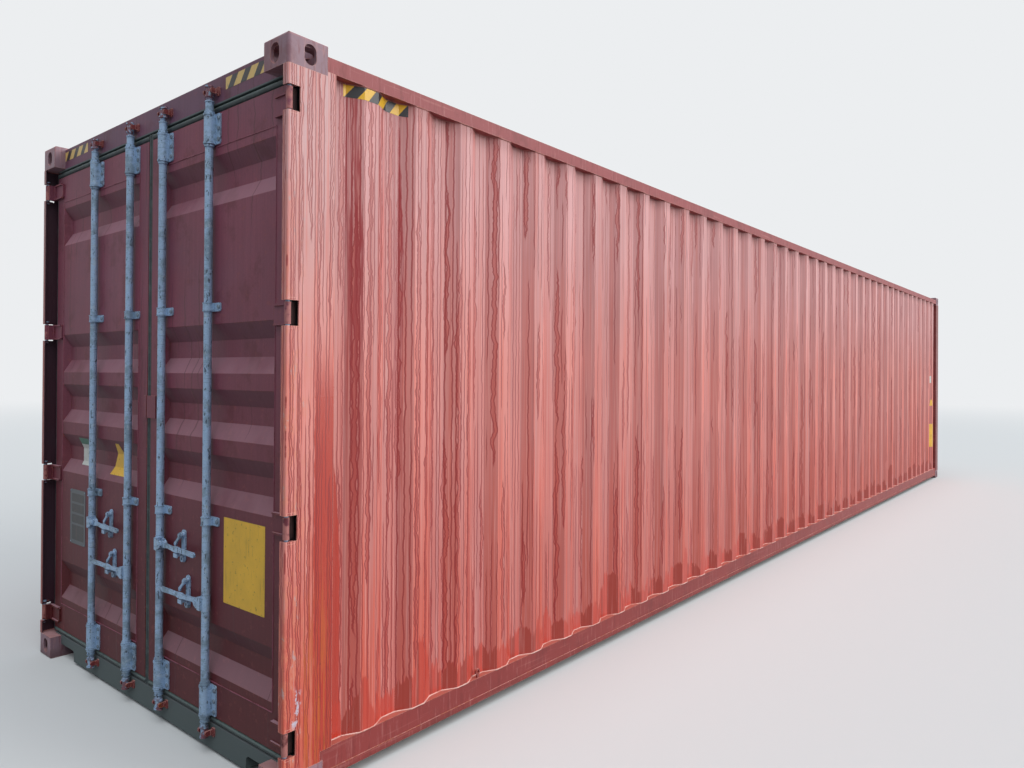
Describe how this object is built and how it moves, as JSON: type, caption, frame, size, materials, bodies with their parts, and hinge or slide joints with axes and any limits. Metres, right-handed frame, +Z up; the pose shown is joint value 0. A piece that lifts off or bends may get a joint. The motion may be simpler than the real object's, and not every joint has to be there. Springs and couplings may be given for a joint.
{
  "type": "shipping container",
  "caption": "Long high cube dry freight container with corrugated walls, corner castings, plywood floor and cargo doors with working lock rods and handles",
  "frame": {"origin": "centre of the box under the bottom corner castings, on the ground plane", "axes": "+X along the length from the door end to the front end, +Y across the width, +Z up"},
  "size_m": [12.192, 2.438, 2.896],
  "materials": {
    "frame_paint": "dull weathered paint",
    "side_paint": "chalky weathered paint",
    "door_paint": "semi-gloss weathered paint",
    "gear_paint": "dull grey-blue coating",
    "cast_steel": "painted casting",
    "seal_rubber": "matt rubber",
    "floor_board": "worn plywood"
  },
  "bodies": {
    "frame": {"top_corner_castings": "cast_steel", "bottom_corner_castings": "cast_steel", "rear_corner_posts": "side_paint", "front_corner_posts": "side_paint", "door_header": "door_paint", "door_sill": "door_paint", "front_top_rail": "frame_paint", "front_bottom_rail": "frame_paint", "top_side_rails": "frame_paint", "bottom_side_rails": "frame_paint", "left_side_wall": "side_paint", "right_side_wall": "side_paint", "front_wall": "side_paint", "roof_panel": "side_paint", "plywood_floor": "floor_board", "cross_members": "frame_paint", "gooseneck_tunnel": "frame_paint", "cam_keepers": "door_paint", "hinge_lugs": "side_paint", "hinge_pins": "gear_paint", "door_holdback_eyes": "frame_paint"},
    "left_door": {"left_door_frame": "door_paint", "left_door_panel": "door_paint", "left_door_gasket": "seal_rubber", "left_door_hinges": "door_paint", "left_rod_brackets": "gear_paint", "left_handle_retainers": "gear_paint"},
    "right_door": {"right_door_frame": "door_paint", "right_door_panel": "door_paint", "right_door_gasket": "seal_rubber", "right_door_hinges": "door_paint", "right_rod_brackets": "gear_paint", "right_handle_retainers": "gear_paint"},
    "left_outer_rod": {"left_outer_lock_rod": "gear_paint"},
    "left_outer_handle": {"left_outer_handle": "gear_paint"},
    "left_outer_catch": {"left_outer_catch": "gear_paint"},
    "left_inner_rod": {"left_inner_lock_rod": "gear_paint"},
    "left_inner_handle": {"left_inner_handle": "gear_paint"},
    "left_inner_catch": {"left_inner_catch": "gear_paint"},
    "right_inner_rod": {"right_inner_lock_rod": "gear_paint"},
    "right_inner_handle": {"right_inner_handle": "gear_paint"},
    "right_inner_catch": {"right_inner_catch": "gear_paint"},
    "right_outer_rod": {"right_outer_lock_rod": "gear_paint"},
    "right_outer_handle": {"right_outer_handle": "gear_paint"},
    "right_outer_catch": {"right_outer_catch": "gear_paint"}
  },
  "joints": [
    {"name": "left_door_swing", "type": "hinge", "parent": "frame", "child": "left_door", "pos_m": [-6.079, 1.202, 1.443], "axis": [0, 0, -1], "range_deg": [0, 265]},
    {"name": "right_door_swing", "type": "hinge", "parent": "frame", "child": "right_door", "pos_m": [-6.079, -1.202, 1.443], "axis": [0, 0, 1], "range_deg": [0, 265]},
    {"name": "left_outer_rod_turn", "type": "hinge", "parent": "left_door", "child": "left_outer_rod", "pos_m": [-6.063, 0.589, 1.443], "axis": [0, 0, 1], "range_deg": [-90, 0]},
    {"name": "left_outer_handle_lift", "type": "hinge", "parent": "left_outer_rod", "child": "left_outer_handle", "pos_m": [-6.073, 0.551, 0.832], "axis": [1, 0, 0], "range_deg": [-10, 0]},
    {"name": "left_outer_catch_swing", "type": "hinge", "parent": "left_door", "child": "left_outer_catch", "pos_m": [-6.06, 0.401, 0.892], "axis": [-1, 0, 0], "range_deg": [-90, 0]},
    {"name": "left_inner_rod_turn", "type": "hinge", "parent": "left_door", "child": "left_inner_rod", "pos_m": [-6.063, 0.17, 1.443], "axis": [0, 0, -1], "range_deg": [-90, 0]},
    {"name": "left_inner_handle_lift", "type": "hinge", "parent": "left_inner_rod", "child": "left_inner_handle", "pos_m": [-6.073, 0.208, 0.636], "axis": [-1, 0, 0], "range_deg": [-10, 0]},
    {"name": "left_inner_catch_swing", "type": "hinge", "parent": "left_door", "child": "left_inner_catch", "pos_m": [-6.06, 0.358, 0.696], "axis": [-1, 0, 0], "range_deg": [-90, 0]},
    {"name": "right_inner_rod_turn", "type": "hinge", "parent": "right_door", "child": "right_inner_rod", "pos_m": [-6.063, -0.17, 1.443], "axis": [0, 0, 1], "range_deg": [-90, 0]},
    {"name": "right_inner_handle_lift", "type": "hinge", "parent": "right_inner_rod", "child": "right_inner_handle", "pos_m": [-6.073, -0.208, 0.832], "axis": [1, 0, 0], "range_deg": [-10, 0]},
    {"name": "right_inner_catch_swing", "type": "hinge", "parent": "right_door", "child": "right_inner_catch", "pos_m": [-6.06, -0.358, 0.892], "axis": [-1, 0, 0], "range_deg": [-90, 0]},
    {"name": "right_outer_rod_turn", "type": "hinge", "parent": "right_door", "child": "right_outer_rod", "pos_m": [-6.063, -0.589, 1.443], "axis": [0, 0, -1], "range_deg": [-90, 0]},
    {"name": "right_outer_handle_lift", "type": "hinge", "parent": "right_outer_rod", "child": "right_outer_handle", "pos_m": [-6.073, -0.551, 0.636], "axis": [-1, 0, 0], "range_deg": [-10, 0]},
    {"name": "right_outer_catch_swing", "type": "hinge", "parent": "right_door", "child": "right_outer_catch", "pos_m": [-6.06, -0.401, 0.696], "axis": [-1, 0, 0], "range_deg": [-90, 0]}
  ]
}
